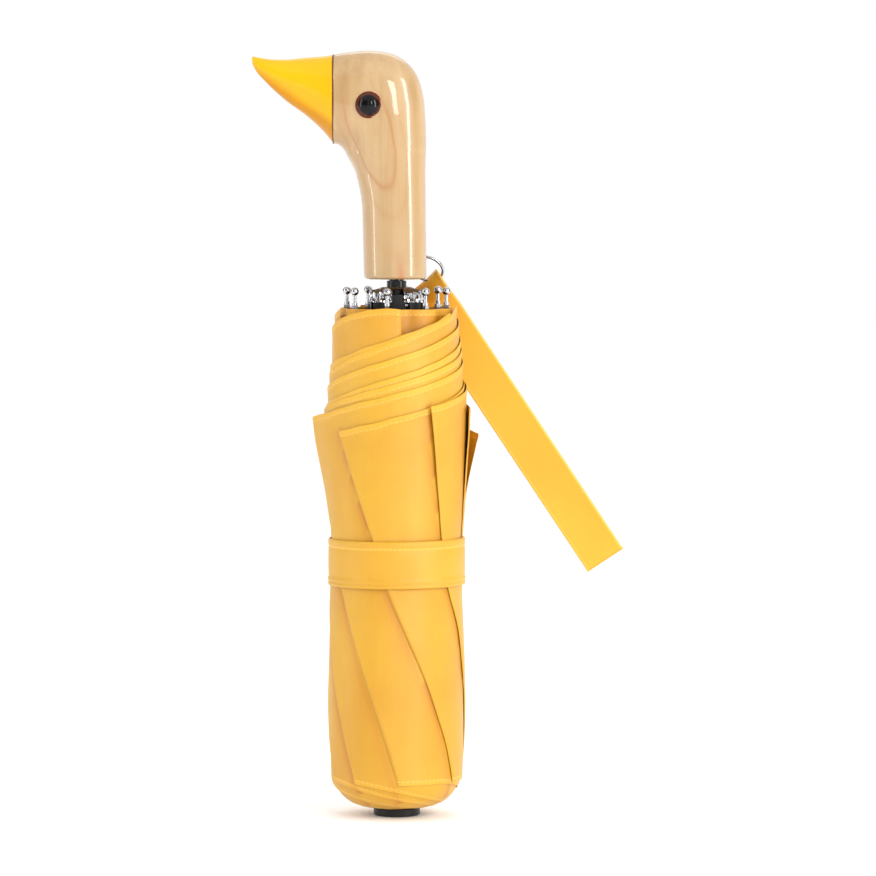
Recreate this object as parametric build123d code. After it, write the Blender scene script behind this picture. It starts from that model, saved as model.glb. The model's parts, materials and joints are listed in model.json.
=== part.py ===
"""Manual three-fold pocket umbrella with a wooden duck-head handle, closed and standing on its cap.

Frame: +Z up the shaft from the centre of the cap's flat foot, the beak towards -X, the wrist
strap towards +X. Every length is in millimetres.
"""

from build123d import *
from math import atan2, cos, radians, sin
import os

# ---- driving dimensions -------------------------------------------------------------------
RIBS = 8
RIB_STEP = 360 / RIBS
FIRST_RIB_AZIMUTH = -10.0
CATCH_AZIMUTH = FIRST_RIB_AZIMUTH - RIB_STEP / 2

CAP_R, CAP_H = 10.0, 6.0
CROWN_R, CROWN_BOTTOM, CROWN_TOP = 10.4, 10.0, 18.0
HUB_R = 5.5

# Shaft: three tubes that slide in each other with 0.1 mm between the walls.
OUTER_TUBE_R, OUTER_TUBE_BORE = 4.2, 3.75
MIDDLE_TUBE_R, MIDDLE_TUBE_BORE = 3.65, 3.2
INNER_TUBE_R, INNER_TUBE_BORE = 3.1, 2.6
SHAFT_BOTTOM, SHAFT_TOP = 6.0, 229.3
TELESCOPE_BOTTOM = 96.0
CATCH_Z, CATCH_WIDTH, CATCH_HEIGHT, CATCH_REACH = 82.0, 1.6, 6.0, 5.1

# Folding frame, laid out in the plane of one rib: r from the shaft's axis, z up.
PIVOT_R = 8.4
CROWN_PIVOT_Z = 14.0
STRETCHER_LENGTH = 102.5
RUNNER_PIVOT_Z = CROWN_PIVOT_Z + 2 * STRETCHER_LENGTH
INNER_RIB_LENGTH = 172.0
MIDDLE_RIB_LENGTH = 165.0
KNEE_STEP = 3.8
KNEE_R = PIVOT_R + KNEE_STEP
KNEE_Z = CROWN_PIVOT_Z + INNER_RIB_LENGTH
ELBOW_R = KNEE_R + KNEE_STEP
ELBOW_Z = KNEE_Z - MIDDLE_RIB_LENGTH
TIP_R, TIP_Z, TIP_BALL_R = 21.6, 225.0, 1.8
RIB_TOP_Z = 219.0
RIB_DEPTH, STRETCHER_DEPTH, BAR_THICKNESS = 2.4, 2.0, 1.6
BAR_PITCH = 2.0  # middle ribs and stretchers lie beside the inner and outer ribs
END_MARGIN = 1.8
RIVET_R, RIVET_HEAD_R, RIVET_HEAD_H = 0.7, 1.3, 0.5
RIVET_HOLE_R = RIVET_R + 0.06
WIRE_R = 0.5

# Runner: the sleeve that slides on the outer tube.
RUNNER_BOTTOM, RUNNER_TOP = 198.0, 226.0
RUNNER_BORE, RUNNER_R = 4.3, 6.1
FLANGE_BOTTOM, FLANGE_TOP, FLANGE_R = 214.5, 223.5, 11.4
KEYWAY_R, KEYWAY_WIDTH = 5.5, 2.2

# Handle: a neck that turns forward into a duck's head, cut flat where the beak is glued on.
HANDLE_BOTTOM, TUBE_SOCKET_DEPTH = 230.0, 33.0
BEAK_JOINT_X = -26.8
THROAT_X, THROAT_Z = BEAK_JOINT_X, 283.0
HEAD_JOINT_HALF_DEPTH = 11.0
EYE_X, EYE_Z, EYE_R = -11.6, 304.0, 5.35
EYE_BALL_R, EYE_BALL_Y = 6.0, 10.3
BEAK_TIP_X, BEAK_TIP_Z = -62.3, 324.6
# Sections of the head, each in a plane turned up about the throat: turn in degrees, distance of
# the throat side and of the crown side from the throat point, half depth.
HEAD_SECTIONS = (
    (0, 5.4, 39.3, 13.3),
    (11, 5.1, 40.2, 13.4),
    (22, 4.8, 42.2, 13.5),
    (34, 4.7, 46.0, 13.5),
    (45, 4.6, 49.4, 13.5),
    (57, 4.6, 50.0, 13.3),
    (68, 4.6, 47.6, 12.9),
    (79, 4.6, 44.6, 12.1),
    (90, 4.7, 42.4, HEAD_JOINT_HALF_DEPTH),
)

# Wrist strap: an eye screwed into the neck, a wire ring through it, a flat ribbon on the ring.
EYE_SCREW = Vector(10.9, 13.8, 239.2)
EYE_SCREW_LOOP_R, EYE_SCREW_WIRE_R = 2.0, 0.6
RING_R, RING_WIRE_R = 7.0, 0.65
RING_DOWN = Vector(0.3, 0.6, -0.742).normalized()
RING_SIDE = Vector(0.93, -0.36, 0.0849).normalized()
STRAP_TURN = 40  # where on the ring the strap hangs, in degrees from its lowest point
STRAP_WIDTH, STRAP_THICKNESS = 18.4, 2.0
STRAP_TOP = Vector(11.6, 27.6, 226.2)
STRAP_END = Vector(90.5, 33.0, 106.9)
TAB_HOLE_R, TAB_HALF_WIDTH = 1.2, 1.6

# Furled canopy and the band that ties it.
BAND_BOTTOM, BAND_TOP = 99.5, 119.5
BAND_INNER_R, BAND_OUTER_R = 28.5, 29.4
CANOPY_HOLE_R = 10.8


def save(node, *solids):
    """Write one node: each argument is a separate solid of it."""
    shape = solids[0] if len(solids) == 1 else Compound(children=list(solids))
    export_step(shape, f"parts/{node}.step")


def turned_solid(points):
    """Solid of revolution about the shaft from an outline of (r, z) points."""
    outline = make_face(Polyline(*points, close=True))
    return revolve(Plane.XZ * outline, Axis.Z)


def tube(outer, bore, bottom, top):
    return Pos(0, 0, (bottom + top) / 2) * (
        Cylinder(outer, top - bottom) - Cylinder(bore, top - bottom)
    )


def side_plate(points, y, thickness=BAR_THICKNESS):
    """Flat plate in the rib's plane from an outline of (r, z) points, centred on y."""
    outline = make_face(Polyline(*points, close=True))
    return Pos(0, y, 0) * extrude(Plane.XZ * outline, thickness / 2, both=True)


def cross_pin(radius, r, z, y_low, y_high):
    """Round pin across the rib's plane."""
    return Pos(r, (y_low + y_high) / 2, z) * Rot(90, 0, 0) * Cylinder(radius, y_high - y_low)


def rivet(r, z, y_low, y_high):
    """Rivet through two plates that span y_low to y_high, with a loose head at each side."""
    shank = cross_pin(RIVET_R, r, z, y_low - 0.3, y_high + 0.3)
    for side in (y_low - 0.1 - RIVET_HEAD_H, y_high + 0.1):
        shank += cross_pin(RIVET_HEAD_R, r, z, side, side + RIVET_HEAD_H)
    return shank


def rivet_hole(r, z, y):
    return cross_pin(RIVET_HOLE_R, r, z, y - BAR_THICKNESS, y + BAR_THICKNESS)


def leaning_bar(r_low, z_low, r_high, z_high, depth):
    """Outline of a straight bar between two points of the rib's plane."""
    lean = atan2(r_high - r_low, z_high - z_low)
    dr, dz = depth / 2 * cos(lean), depth / 2 * sin(lean)
    return [
        (r_low - dr, z_low + dz),
        (r_low + dr, z_low - dz),
        (r_high + dr, z_high - dz),
        (r_high - dr, z_high + dz),
    ]


# ---- shaft and crown ----------------------------------------------------------------------
def ferrule_cap():
    cap = turned_solid([(0, 0), (CAP_R, 0), (CAP_R, 3.2), (8.2, CAP_H), (0, CAP_H)])
    stud_top = 14.0
    stud = Pos(0, 0, (CAP_H + stud_top) / 2) * Cylinder(OUTER_TUBE_BORE - 0.05, stud_top - CAP_H)
    return chamfer(cap.edges().filter_by(GeomType.CIRCLE).group_by(Axis.Z)[0], 0.6) + stud


def crown():
    """Notched hub: each inner rib swings in a slot, on the wire that lies in the groove."""
    body = tube(CROWN_R, OUTER_TUBE_R + 0.02, CROWN_BOTTOM, CROWN_TOP)
    body += tube(HUB_R + 0.9, OUTER_TUBE_R + 0.02, CAP_H, CROWN_BOTTOM)
    slot_length = 8.0
    slot = Pos(HUB_R + slot_length / 2, 0, CROWN_TOP) * Box(slot_length, 2.2, 18)
    for i in range(RIBS):
        body -= Rot(0, 0, FIRST_RIB_AZIMUTH + i * RIB_STEP) * slot
    groove = Pos(0, 0, CROWN_PIVOT_Z) * Torus(PIVOT_R, WIRE_R + 0.05)
    return body - groove


def crown_wire():
    return Pos(0, 0, CROWN_PIVOT_Z) * Torus(PIVOT_R, WIRE_R)


def outer_tube():
    body = tube(OUTER_TUBE_R, OUTER_TUBE_BORE, SHAFT_BOTTOM, SHAFT_TOP)
    window = Pos(OUTER_TUBE_R, 0, CATCH_Z) * Box(2, CATCH_WIDTH + 0.3, CATCH_HEIGHT + 0.4)
    return body - Rot(0, 0, CATCH_AZIMUTH) * window


def runner_catch():
    """Spring catch in the outer tube's window: it holds the runner open and is pressed to close."""
    low, high, root_r = CATCH_Z - CATCH_HEIGHT / 2, CATCH_Z + CATCH_HEIGHT / 2, 2.2
    outline = [
        (root_r, low), (CATCH_REACH - 0.5, low), (CATCH_REACH, low + 1), (CATCH_REACH, high), (root_r, high),
    ]
    button = side_plate(outline, 0, CATCH_WIDTH)
    leaf = Pos(2.0, 0, CATCH_Z) * Box(0.6, CATCH_WIDTH, 20)
    return Rot(0, 0, CATCH_AZIMUTH) * (button + leaf)


# ---- folding frame: every piece is made in the XZ plane and turned to its azimuth ------------
def inner_rib():
    half = RIB_DEPTH / 2
    top = KNEE_Z + END_MARGIN
    ear = KNEE_Z - 4.0
    outline = [
        (PIVOT_R - half, CROWN_PIVOT_Z - END_MARGIN),
        (PIVOT_R + half, CROWN_PIVOT_Z - END_MARGIN),
        (PIVOT_R + half, ear - KNEE_STEP),
        (KNEE_R + END_MARGIN, ear),
        (KNEE_R + END_MARGIN, top),
        (PIVOT_R - half, top),
    ]
    stretcher_z = CROWN_PIVOT_Z + STRETCHER_LENGTH
    bar = side_plate(outline, 0)
    bar -= cross_pin(WIRE_R + 0.1, PIVOT_R, CROWN_PIVOT_Z, -BAR_THICKNESS, BAR_THICKNESS)
    bar -= rivet_hole(PIVOT_R, stretcher_z, 0) + rivet_hole(KNEE_R, KNEE_Z, 0)
    half_bar = BAR_THICKNESS / 2
    return (
        bar,
        rivet(PIVOT_R, stretcher_z, -BAR_PITCH - half_bar, half_bar),
        rivet(KNEE_R, KNEE_Z, -half_bar, BAR_PITCH + half_bar),
    )


def stretcher():
    """Link from the inner rib to the runner; its upper eye sits in a slot of the runner."""
    half = STRETCHER_DEPTH / 2
    z_low = CROWN_PIVOT_Z + STRETCHER_LENGTH
    outline = [
        (PIVOT_R - half, z_low - END_MARGIN),
        (PIVOT_R + half, z_low - END_MARGIN),
        (PIVOT_R + half, RUNNER_PIVOT_Z),
        (PIVOT_R - half, RUNNER_PIVOT_Z),
    ]
    y_low, y_high = -BAR_PITCH - BAR_THICKNESS / 2, -BAR_PITCH + BAR_THICKNESS / 2
    link = side_plate(outline, -BAR_PITCH)
    link += cross_pin(1.9, PIVOT_R, RUNNER_PIVOT_Z, y_low, y_high)
    link -= rivet_hole(PIVOT_R, z_low, -BAR_PITCH)
    return link - cross_pin(0.7, PIVOT_R, RUNNER_PIVOT_Z, y_low - 1, y_high + 1)


def middle_rib():
    half = RIB_DEPTH / 2
    ear = ELBOW_Z + 4.0
    outline = [
        (KNEE_R - half, KNEE_Z + END_MARGIN),
        (KNEE_R - half, ELBOW_Z - END_MARGIN),
        (ELBOW_R + END_MARGIN, ELBOW_Z - END_MARGIN),
        (ELBOW_R + END_MARGIN, ear - END_MARGIN),
        (KNEE_R + half, ear + KNEE_STEP),
        (KNEE_R + half, KNEE_Z + END_MARGIN),
    ]
    bar = side_plate(outline, BAR_PITCH)
    bar -= rivet_hole(KNEE_R, KNEE_Z, BAR_PITCH) + rivet_hole(ELBOW_R, ELBOW_Z, BAR_PITCH)
    half_bar = BAR_THICKNESS / 2
    return bar, rivet(ELBOW_R, ELBOW_Z, -half_bar, BAR_PITCH + half_bar)


def outer_rib():
    lean = (TIP_R - ELBOW_R) / (RIB_TOP_Z - ELBOW_Z)
    z_low = ELBOW_Z - END_MARGIN
    bar = side_plate(
        leaning_bar(ELBOW_R - END_MARGIN * lean, z_low, TIP_R, RIB_TOP_Z, RIB_DEPTH), 0
    )
    return bar - rivet_hole(ELBOW_R, ELBOW_Z, 0)


def rib_tip():
    """Ball-ended tip that the canopy's hem is sewn to."""
    neck_bottom = RIB_TOP_Z + 0.1
    neck = Pos(TIP_R, 0, (neck_bottom + TIP_Z) / 2) * Cylinder(0.75, TIP_Z - neck_bottom)
    collar = Pos(TIP_R, 0, neck_bottom + 0.6) * Cylinder(1.15, 1.2)
    return neck + collar + Pos(TIP_R, 0, TIP_Z) * Sphere(TIP_BALL_R)


def runner():
    """Sleeve with a slotted flange; each stretcher's eye lies in a slot with room all round."""
    body = tube(RUNNER_R, RUNNER_BORE, RUNNER_BOTTOM, RUNNER_TOP)
    body += tube(FLANGE_R, RUNNER_BORE, FLANGE_BOTTOM, FLANGE_TOP)
    slot_inner = RUNNER_R + 0.02
    slot = Pos(slot_inner + 4, -BAR_PITCH, RUNNER_PIVOT_Z) * Box(8, BAR_THICKNESS + 0.6, 20)
    for i in range(RIBS):
        body -= Rot(0, 0, FIRST_RIB_AZIMUTH + i * RIB_STEP) * slot
    height = RUNNER_TOP - RUNNER_BOTTOM + 2
    keyway = Pos(KEYWAY_R / 2, 0, (RUNNER_BOTTOM + RUNNER_TOP) / 2) * Box(
        KEYWAY_R, KEYWAY_WIDTH, height
    )
    return body - Rot(0, 0, CATCH_AZIMUTH) * keyway


# ---- handle ---------------------------------------------------------------------------------
def head_section(turn, near, far, half_depth):
    """Elliptical section in the plane that stands on the throat point, turned up from level."""
    middle, half = (near + far) / 2, (far - near) / 2
    x = THROAT_X + middle * cos(radians(turn))
    z = THROAT_Z + middle * sin(radians(turn))
    along = Vector(cos(radians(turn)), 0, sin(radians(turn)))
    across = Vector(0, 1, 0)
    return Plane((x, 0, z), x_dir=along, z_dir=along.cross(across)) * Ellipse(half, half_depth)


def neck_section(z, x_front, x_back, half_depth):
    return Plane(((x_front + x_back) / 2, 0, z), x_dir=(1, 0, 0), z_dir=(0, 0, 1)) * Ellipse(
        (x_back - x_front) / 2, half_depth
    )


def eye(side):
    ball = Pos(EYE_X, side * EYE_BALL_Y, EYE_Z) * Sphere(EYE_BALL_R)
    seat = Pos(EYE_X, side * (EYE_BALL_Y + 3), EYE_Z) * Rot(90, 0, 0) * Cylinder(EYE_R, 7)
    return ball & seat


def beak_dowel(gap=0.0):
    return Pos(BEAK_JOINT_X, 0, 307) * Rot(0, 90, 0) * Cylinder(3 + gap, 20 + 2 * gap)


def handle_pin(gap=0.0):
    return Pos(0, 0, 250) * Rot(90, 0, 0) * Cylinder(1 + gap, 18 + 2 * gap)


def screw_shank(gap=0.0):
    y_low, y_high = -2.0 - gap, EYE_SCREW.Y - EYE_SCREW_LOOP_R
    return Pos(EYE_SCREW.X, (y_low + y_high) / 2, EYE_SCREW.Z) * Rot(90, 0, 0) * Cylinder(
        EYE_SCREW_WIRE_R + gap, y_high - y_low
    )


def screw_eye():
    loop = Pos(*EYE_SCREW) * Rot(0, 90, 0) * Torus(EYE_SCREW_LOOP_R, EYE_SCREW_WIRE_R)
    return screw_shank() + loop


def handle_head():
    neck = loft(
        [
            neck_section(HANDLE_BOTTOM, -13.9, 12.8, 12.6),
            neck_section(245, -14.3, 12.7, 12.7),
            neck_section(262, -14.8, 12.5, 12.9),
            neck_section(THROAT_Z - 8, -17.4, 12.4, 13.1),
            head_section(*HEAD_SECTIONS[0]),
        ]
    )
    sections = [head_section(*section) for section in HEAD_SECTIONS]
    wood = neck + [loft(pair) for pair in zip(sections, sections[1:])]
    wood -= Pos(0, 0, HANDLE_BOTTOM + TUBE_SOCKET_DEPTH / 2) * Cylinder(
        INNER_TUBE_R + 0.02, TUBE_SOCKET_DEPTH
    )
    wood -= beak_dowel(0.05)
    wood -= handle_pin(0.05)
    wood -= screw_shank(0.05)
    wood -= eye(-1)
    return wood - eye(1)


def beak_section(x, z_low, z_high, half_depth):
    return Plane((x, 0, (z_low + z_high) / 2), x_dir=(0, 0, 1), z_dir=(-1, 0, 0)) * Ellipse(
        (z_high - z_low) / 2, half_depth
    )


def beak():
    body = loft(
        [
            beak_section(BEAK_JOINT_X, 287.7, 325.4, HEAD_JOINT_HALF_DEPTH),
            beak_section(-37.5, 298.8, 324.3, 8.7),
            beak_section(-48.2, 306.8, 323.4, 5.9),
            beak_section(-56.0, 314.2, 323.8, 3.6),
            beak_section(BEAK_TIP_X, BEAK_TIP_Z - 1.6, BEAK_TIP_Z + 0.4, 0.9),
        ]
    )
    return body - beak_dowel(0.05)


def inner_tube():
    top = HANDLE_BOTTOM + TUBE_SOCKET_DEPTH - 1
    return tube(INNER_TUBE_R, INNER_TUBE_BORE, TELESCOPE_BOTTOM + 2, top) - handle_pin(0.05)


# ---- wrist strap ----------------------------------------------------------------------------
def ring_point(turn):
    """Point of the ring's centreline; turn 0 is the strap's end, 180 the eye screw's end."""
    centre = EYE_SCREW + RING_DOWN * RING_R
    return centre + RING_DOWN * (RING_R * cos(radians(turn))) + RING_SIDE * (
        RING_R * sin(radians(turn))
    )


def ring(wire_r):
    centre = EYE_SCREW + RING_DOWN * RING_R
    plane = Plane(centre, x_dir=RING_DOWN, z_dir=RING_DOWN.cross(RING_SIDE))
    return plane * Torus(RING_R, wire_r)


def strap_ring():
    return ring(RING_WIRE_R)


def wrist_strap():
    """Folded ribbon, sewn flat on itself, with a small tab round the ring."""
    along = (STRAP_END - STRAP_TOP).normalized()
    across = Vector(-along.Z, 0, along.X).normalized()
    length = (STRAP_END - STRAP_TOP).length
    plane = Plane((STRAP_TOP + STRAP_END) * 0.5, x_dir=along, z_dir=along.cross(across))
    ribbon = plane * Box(length, STRAP_WIDTH, STRAP_THICKNESS)
    hook = ring_point(STRAP_TURN)
    tangent = (ring_point(STRAP_TURN + 1) - ring_point(STRAP_TURN - 1)).normalized()
    corner = STRAP_TOP + across * (STRAP_WIDTH / 2 - TAB_HALF_WIDTH) + along * 1.5
    reach = (corner - hook).length
    tab_plane = Plane(
        (hook + corner) * 0.5, x_dir=(corner - hook).normalized(), z_dir=tangent.cross(corner - hook)
    )
    tab = tab_plane * Box(reach, 2 * TAB_HALF_WIDTH, 1.6)
    sleeve = Plane(hook, z_dir=tangent) * Cylinder(TAB_HOLE_R + 0.9, 2 * TAB_HALF_WIDTH)
    return ribbon + sleeve + tab - ring(TAB_HOLE_R)


# ---- canopy -----------------------------------------------------------------------------------
def canopy():
    """Furled cloth: a sleeve round the folded ribs, gathered in under the crown."""
    outside = [
        (CANOPY_HOLE_R, 2.4), (16.0, 2.8), (24.0, 5.8), (28.4, 11.0), (29.3, 17.0), (29.6, 60.0),
        (28.3, BAND_BOTTOM - 2), (28.3, BAND_TOP + 2), (30.2, 140.0), (31.2, 174.0),
        (28.2, 180.0), (26.2, 218.0),
    ]
    inside = [(23.6, 218.0), (18.8, 24.0), (18.8, 9.0), (CANOPY_HOLE_R, 9.0)]
    return turned_solid(outside + inside)


def closing_band():
    return tube(BAND_OUTER_R, BAND_INNER_R, BAND_BOTTOM, BAND_TOP)


# ---- write every node -------------------------------------------------------------------------
def main():
    os.makedirs("parts", exist_ok=True)
    save("ferrule_cap", ferrule_cap())
    save("crown", crown())
    save("crown_wire", crown_wire())
    save("outer_tube", outer_tube())
    save("runner_catch", runner_catch())
    save("middle_tube", tube(MIDDLE_TUBE_R, MIDDLE_TUBE_BORE, TELESCOPE_BOTTOM, SHAFT_TOP - 0.2))
    save("inner_tube", inner_tube())
    save("runner", runner())
    for i in range(RIBS):
        turn = Rot(0, 0, FIRST_RIB_AZIMUTH + i * RIB_STEP)
        save(f"rib_inner_{i + 1}", *[turn * piece for piece in inner_rib()])
        save(f"stretcher_{i + 1}", turn * stretcher())
        save(f"rib_middle_{i + 1}", *[turn * piece for piece in middle_rib()])
        save(f"rib_outer_{i + 1}", turn * outer_rib())
        save(f"rib_tip_{i + 1}", turn * rib_tip())
    save("handle_head", handle_head())
    save("beak", beak())
    save("beak_dowel", beak_dowel())
    save("eye_left", eye(-1))
    save("eye_right", eye(1))
    save("handle_pin", handle_pin())
    save("screw_eye", screw_eye())
    save("strap_ring", strap_ring())
    save("wrist_strap", wrist_strap())
    save("canopy", canopy())
    save("closing_band", closing_band())


main()
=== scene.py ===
"""Pocket umbrella with a duck-head handle, closed and tied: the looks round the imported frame.

Lengths are in millimetres in the mesh code and are turned into metres when a mesh is made.
A turn round the shaft is measured in degrees from the front (-Y) towards the right (+X).
"""

import json
import math

import bpy
import numpy as np
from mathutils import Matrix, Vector, noise

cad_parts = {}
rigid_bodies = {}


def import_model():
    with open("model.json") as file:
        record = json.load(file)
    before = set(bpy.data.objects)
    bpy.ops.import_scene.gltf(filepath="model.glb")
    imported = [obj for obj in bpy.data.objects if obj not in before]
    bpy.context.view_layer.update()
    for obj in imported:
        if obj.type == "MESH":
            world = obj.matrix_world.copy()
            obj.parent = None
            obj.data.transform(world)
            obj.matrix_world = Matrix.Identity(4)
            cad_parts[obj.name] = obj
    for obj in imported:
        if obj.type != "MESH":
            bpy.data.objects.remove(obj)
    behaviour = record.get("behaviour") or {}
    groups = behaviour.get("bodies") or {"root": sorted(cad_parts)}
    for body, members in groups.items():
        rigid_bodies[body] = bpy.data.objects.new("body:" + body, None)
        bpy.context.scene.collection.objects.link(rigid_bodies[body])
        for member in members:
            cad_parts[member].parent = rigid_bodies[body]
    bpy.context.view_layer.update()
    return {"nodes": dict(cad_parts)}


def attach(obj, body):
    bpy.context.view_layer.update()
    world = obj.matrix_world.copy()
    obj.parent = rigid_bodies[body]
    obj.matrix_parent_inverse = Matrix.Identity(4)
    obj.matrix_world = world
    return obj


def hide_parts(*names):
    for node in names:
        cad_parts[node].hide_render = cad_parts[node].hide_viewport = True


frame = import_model()

MM = 0.001


# ---- camera, light, floor --------------------------------------------------------------------
def aim(obj, target):
    obj.rotation_euler = (Vector(target) - obj.location).to_track_quat("-Z", "Y").to_euler()


def make_camera():
    data = bpy.data.cameras.new("camera")
    data.lens, data.sensor_width = 198.0, 36.0
    camera = bpy.data.objects.new("camera", data)
    bpy.context.scene.collection.objects.link(camera)
    camera.location = (0.0177, -2.057, 0.283)
    aim(camera, (0.0177, 0.0, 0.162))
    bpy.context.scene.camera = camera


def area_light(name, location, target, size, power, color=(1, 1, 1)):
    data = bpy.data.lights.new(name, "AREA")
    data.shape, data.size, data.size_y = "RECTANGLE", size[0], size[1]
    data.energy, data.color = power, color
    light = bpy.data.objects.new(name, data)
    bpy.context.scene.collection.objects.link(light)
    light.location = location
    aim(light, target)


def make_studio():
    world = bpy.data.worlds.new("studio")
    world.use_nodes = True
    background = world.node_tree.nodes["Background"]
    background.inputs["Color"].default_value = (1.0, 1.0, 1.0, 1.0)
    background.inputs["Strength"].default_value = 1.0
    bpy.context.scene.world = world
    bpy.context.scene.view_settings.view_transform = "Standard"
    area_light("strip_right", (1.05, -0.75, 0.55), (0, 0, 0.2), (0.2, 1.2), 9.0)
    area_light("strip_left", (-1.15, -0.38, 0.5), (0, 0, 0.2), (0.12, 1.2), 3.5)
    area_light("front_fill", (0.75, -1.7, 0.9), (0, 0, 0.15), (0.3, 0.9), 10.0)
    area_light("back_top", (0.2, 1.1, 1.5), (0, 0, 0.2), (1.2, 0.6), 3.0)


def make_dark_cards():
    """Dark cards far outside the picture: what gives glass and chrome their dark reflections."""
    card_surface = Surface("dark_card", Roughness=0.9)
    weave = card_surface.noise(card_surface.place(), 30.0)
    card_surface.color(card_surface.ramp(weave, (0.3, (0.012,) * 3), (0.7, (0.02,) * 3)))
    for name, turn, width, top in (
        ("card_front_left", -33, 3300, 3400), ("card_front_right", 25, 2700, 3400),
        ("card_left", -100, 3000, 3000), ("card_right", 88, 2600, 3000),
    ):
        c, s = math.cos(math.radians(turn)), math.sin(math.radians(turn))
        corners = []
        for side, z in ((-1, 150), (1, 150), (1, top), (-1, top)):
            corners.append((4000 * s + side * width * c / 2, -4000 * c + side * width * s / 2, z))
        card = new_mesh(name, corners, [(0, 1, 2, 3)], card_surface.material)
        card.visible_camera = card.visible_diffuse = False


# ---- mesh helpers ------------------------------------------------------------------------------
def new_mesh(name, vertices, faces, material=None, smooth=True):
    """Object from points in millimetres."""
    mesh = bpy.data.meshes.new(name)
    mesh.from_pydata((np.asarray(vertices, float) * MM).tolist(), [], faces)
    mesh.validate()
    if smooth:
        mesh.shade_smooth()
    obj = bpy.data.objects.new(name, mesh)
    bpy.context.scene.collection.objects.link(obj)
    if material:
        mesh.materials.append(material)
    return obj


def grid_faces(rows, columns, closed=False, start=0, flip=False):
    """Quads of a grid of points stored row by row; closed joins the last column to the first."""
    faces = []
    for i in range(rows - 1):
        for j in range(columns if closed else columns - 1):
            k = (j + 1) % columns
            quad = (
                start + i * columns + j,
                start + i * columns + k,
                start + (i + 1) * columns + k,
                start + (i + 1) * columns + j,
            )
            faces.append(quad[::-1] if flip else quad)
    return faces


def put_attribute(obj, name, values):
    layer = obj.data.attributes.new(name, "FLOAT", "POINT")
    layer.data.foreach_set("value", np.asarray(values, np.float32))


def put_uv(obj, coordinates):
    """UV map in millimetres from one (along, across) pair for each vertex."""
    layer = obj.data.uv_layers.new(name="weave")
    loops = np.zeros(len(obj.data.loops), np.int32)
    obj.data.loops.foreach_get("vertex_index", loops)
    layer.data.foreach_set("uv", np.asarray(coordinates, np.float32)[loops].ravel())


def spline(keys, at):
    """Smooth curve through (position, value...) rows, read at the positions given."""
    keys = np.asarray(keys, float)
    x, y = keys[:, 0], keys[:, 1:]
    slope = np.gradient(y, x, axis=0)
    at = np.clip(np.asarray(at, float), x[0], x[-1])
    i = np.clip(np.searchsorted(x, at) - 1, 0, len(x) - 2)
    h = (x[i + 1] - x[i])[..., None]
    t = (at - x[i])[..., None] / h
    return (
        (2 * t**3 - 3 * t**2 + 1) * y[i]
        + (t**3 - 2 * t**2 + t) * h * slope[i]
        + (3 * t**2 - 2 * t**3) * y[i + 1]
        + (t**3 - t**2) * h * slope[i + 1]
    )


def smoothstep(x, low=0.0, high=1.0):
    t = np.clip((np.asarray(x, float) - low) / (high - low), 0, 1)
    return t * t * (3 - 2 * t)


def wobble(x, y, scale, seed):
    """Smooth noise from -1 to 1 on a grid of positions."""
    flat = [
        noise.noise((a / scale, b / scale, seed * 7.31))
        for a, b in zip(np.ravel(x), np.ravel(y))
    ]
    return np.array(flat).reshape(np.shape(x))


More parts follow.
